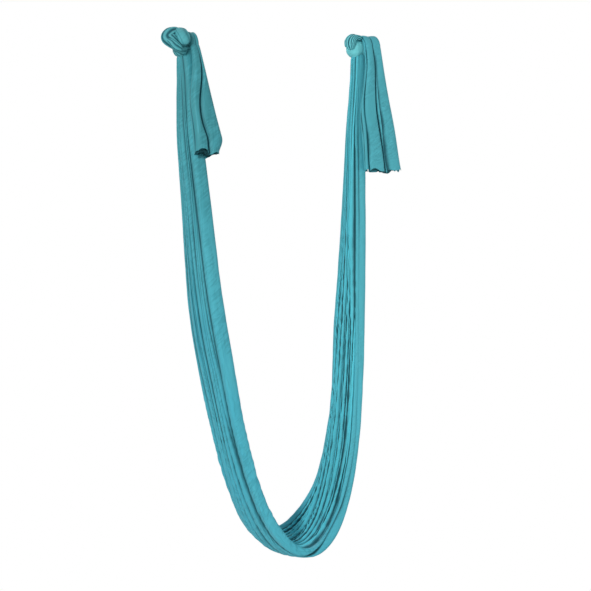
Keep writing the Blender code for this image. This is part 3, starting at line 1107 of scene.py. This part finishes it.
clothSettings = {
    # Painted light: the cloth is painted darker towards the top and lighter towards the bottom, between two
    # heights.
    "paintedShadeTop": (0.066, 0.34, 0.385),
    "lower": (0.09, 0.54, 0.69),
    "lowering": (-0.15, -1.3),
    # A random lighter tone, painted highlights on wrinkles and painted light towards +X.
    "toneAndPaintedLight": (0.115, 0.57, 0.67),
    # Painted highlight on fold crests; the next one is the painted highlight on the knots' crests.
    "crest": (0.13, 0.76, 0.9),
    "knotCrestHighlight": (0.22, 0.79, 0.84),
    # Painted shade in fine wrinkles and crumples.
    "wrinkleShade": (0.03, 0.215, 0.26),
    "shade": (0.014, 0.11, 0.14),
    "roughness": 0.52,
    "roughnessSwing": 0.12,
    "specular": 0.16,
    "sheen": 0.1,
    "sheenRoughness": 0.45,
    "sheenTint": (0.25, 0.85, 0.95),
    # How flat coordinates are stretched for each texture, and its detail.
    "textures": {
        "wrinkles": ((170.0, 11.0, 1.0), {"Detail": 4.0, "Roughness": 0.62, "Distortion": 0.35}),
        "creases": ((60.0, 5.0, 1.0), {"Detail": 3.0, "Roughness": 0.55, "Distortion": 0.8}),
        "patches": ((16.0, 4.0, 1.0), {"Detail": 1.0}),
    },
    "tickTurn": (0.0, 0.0, 0.95),
    "tickSize": (0.0075, 0.04, 1.0),
    "ticks": {"Detail": 2.0, "Roughness": 0.55, "Distortion": 0.5},
    "slow": {"Scale": 5.0, "Detail": 2.0, "Roughness": 0.5},
    "knit": {"Scale": 260.0, "Distortion": 1.5, "Detail": 1.0},
    "crumpledBetween": (0.36, 0.58),
    "wrinkleRelief": 0.6,
    "creaseRelief": 0.9,
    "tickRelief": 3.2,
    "crinkleHeight": 0.0011,
    "crinkleStrength": 0.75,
    "knitHeight": 0.00012,
    "knitStrength": 0.4,
    # Laid over the base colour in turn: by what, between which values, how much, which colour.
    # The slow layer is a random tone; the wrinkle, crease and tick layers are painted shade and painted
    # highlights on fine wrinkles; the last layer is painted light, lighter towards +X.
    "layers": (
        ("slow", (0.45, 0.75), 0.35, "toneAndPaintedLight"),
        ("wrinkles", (0.5, 0.3), 0.3, "wrinkleShade"),
        ("creases", (0.55, 0.75), 0.4, "toneAndPaintedLight"),
        ("ticks", (0.5, 0.4), 0.45, "wrinkleShade"),
        ("ticks", (0.5, 0.6), 0.45, "toneAndPaintedLight"),
        ("paintedLightSideways", (-0.05, 0.35), 0.75, "toneAndPaintedLight"),
    ),
    "crestHighlightBetween": (0.3, 0.0),
    "crestHighlightColour": "crest",
    "valleyStart": 0.1,
    "valleyEnd": 0.6,
    "valleyShare": 0.95,
}

# Per piece: how crumpled it is, which also paints shade and highlights on the crumples, how much painted
# highlight its crests get and in which colour, and where the painted shade in its valleys ends.
paintedLightAndFinishes = {
    "band_outer": {"crumple": 0.6, "crestHighlight": 0.1},
    "band_inner": {"crumple": 1.3, "crestHighlight": 0.9, "valleyEnd": 0.38},
    "left_tail": {"crumple": 0.45, "crestHighlight": 0.0},
    "right_tail": {"crumple": 1.4, "crestHighlight": 0.0},
    "left_knot": {"crumple": 0.5, "crestHighlight": 0.3, "crestHighlightColour": "knotCrestHighlight"},
    "right_knot": {"crumple": 0.4, "crestHighlight": 0.9, "crestHighlightColour": "knotCrestHighlight"},
}


def clothMaterial(name):
    # Satin tricot: drawn wrinkles, crumpled patches, a fine knit and a slowly shifting colour, with painted
    # light: darker towards the top, lighter towards the bottom and +X, painted shade and highlights on
    # wrinkles, painted shade in valleys and painted highlights on crests.
    cloth = {**clothSettings, **paintedLightAndFinishes[name]}
    material = bpy.data.materials.new(name + "_cloth_finish")
    shader = Shader(material)
    flat = shader.node("UVMap", {"uv_map": "UVMap"})
    place = shader.node("TexCoord", output="Object")
    found = {}
    for source, (scale, texture) in cloth["textures"].items():
        stretched = shader.node("Mapping", None, {"Vector": flat, "Scale": scale})
        found[source] = shader.noise(stretched, texture)
    slanted = shader.node("Mapping", {"vector_type": "TEXTURE"},
                          {"Vector": flat, "Rotation": cloth["tickTurn"], "Scale": cloth["tickSize"]})
    found["ticks"] = shader.noise(slanted, cloth["ticks"])
    found["slow"] = shader.noise(place, cloth["slow"], "3D")
    # Painted light: the cloth is painted lighter towards +X.
    found["paintedLightSideways"] = shader.node("SeparateXYZ", None, {0: place}, output="X")
    crumpled = shader.smoothRange(found["patches"], *cloth["crumpledBetween"]) * cloth["crumple"]
    knit = shader.node("TexWave", {"wave_type": "BANDS", "bands_direction": "DIAGONAL"},
                       {"Vector": flat, **cloth["knit"]})
    height = shader.node("SeparateXYZ", None, {0: place}, output="Z")
    # Painted light: darker towards the top, lighter towards the bottom.
    base = shader.colourMix(shader.smoothRange(height, *cloth["lowering"]), cloth["paintedShadeTop"], cloth["lower"])
    for source, reach, share, colour in cloth["layers"]:
        factor = shader.smoothRange(found[source], *reach)
        if source == "ticks":
            factor = factor * crumpled
        base = shader.colourMix(factor * share, base, cloth[colour])
    valley = shader.node("Attribute", {"attribute_name": "crease"}, output="Fac")
    # Painted highlight on the crests, where the crease share is low.
    crestHighlight = shader.smoothRange(valley, *cloth["crestHighlightBetween"]) * cloth["crestHighlight"]
    base = shader.colourMix(crestHighlight, base, cloth[cloth["crestHighlightColour"]])
    # Painted shade in the valleys, where the crease share is high.
    shade = shader.smoothRange(valley, cloth["valleyStart"], cloth["valleyEnd"]) * cloth["valleyShare"]
    base = shader.colourMix(shade, base, cloth["shade"])
    relief = found["wrinkles"] * cloth["wrinkleRelief"] + found["creases"] * cloth["creaseRelief"]
    relief = relief + found["ticks"] * crumpled * cloth["tickRelief"]
    bump = shader.node("Bump", None, {
        "Strength": cloth["crinkleStrength"], "Distance": cloth["crinkleHeight"], "Height": relief})
    fine = shader.node("Bump", None, {
        "Strength": cloth["knitStrength"], "Distance": cloth["knitHeight"], "Height": knit, "Normal": bump})
    paint = shader.node("BsdfPrincipled", None, {
        "Base Color": base,
        "Roughness": cloth["roughness"] + (found["slow"] - 0.5) * cloth["roughnessSwing"],
        "Specular IOR Level": cloth["specular"],
        "Sheen Weight": cloth["sheen"],
        "Sheen Roughness": cloth["sheenRoughness"],
        "Sheen Tint": (*cloth["sheenTint"], 1.0),
        "Normal": fine,
    })
    shader.node("OutputMaterial", None, {"Surface": paint})
    return material


# The scene

bpy.context.scene.view_settings.view_transform = "Standard"
makeCamera()
for lampName in lightSettings["lamps"]:
    makeLamp(lampName)
makeWorld()
makeFloor()
print("camera, lamps and floor are in place")

materials = {name: clothMaterial(name) for name in paintedLightAndFinishes}
bandPieces = makeBand()
for name, piece in bandPieces.items():
    piece.data.materials.append(materials["band_" + name.split("_")[1]])
    side = name.split("_")[0]
    sign = -1 if side == "front" else 1
    side + "_folds"
    0.020 * sign
    0.130 * sign
    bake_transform(piece)
stretches = ("left_strand", "seat", "right_strand")
bandNodes = {layer: [f"{layer}_fold_{number}_{stretch}" for number in range(1, 5) for stretch in stretches]
             for layer in ("front", "middle", "back")}
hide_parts(*bandNodes["front"], *bandNodes["middle"][:6])
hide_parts(*bandNodes["back"], *bandNodes["middle"][6:])
print("band is made")

tailPieces = {side: makeTail(side) for side in ("left", "right")}
for side, piece in tailPieces.items():
    piece.data.materials.append(materials[side + "_tail"])
print("tails are made")

knots = {name: makeKnotPiece(name) for name in knotPieces}
for name, piece in knots.items():
    piece.data.materials.append(materials[name.split("_")[0] + "_knot"])
print("knots are made")
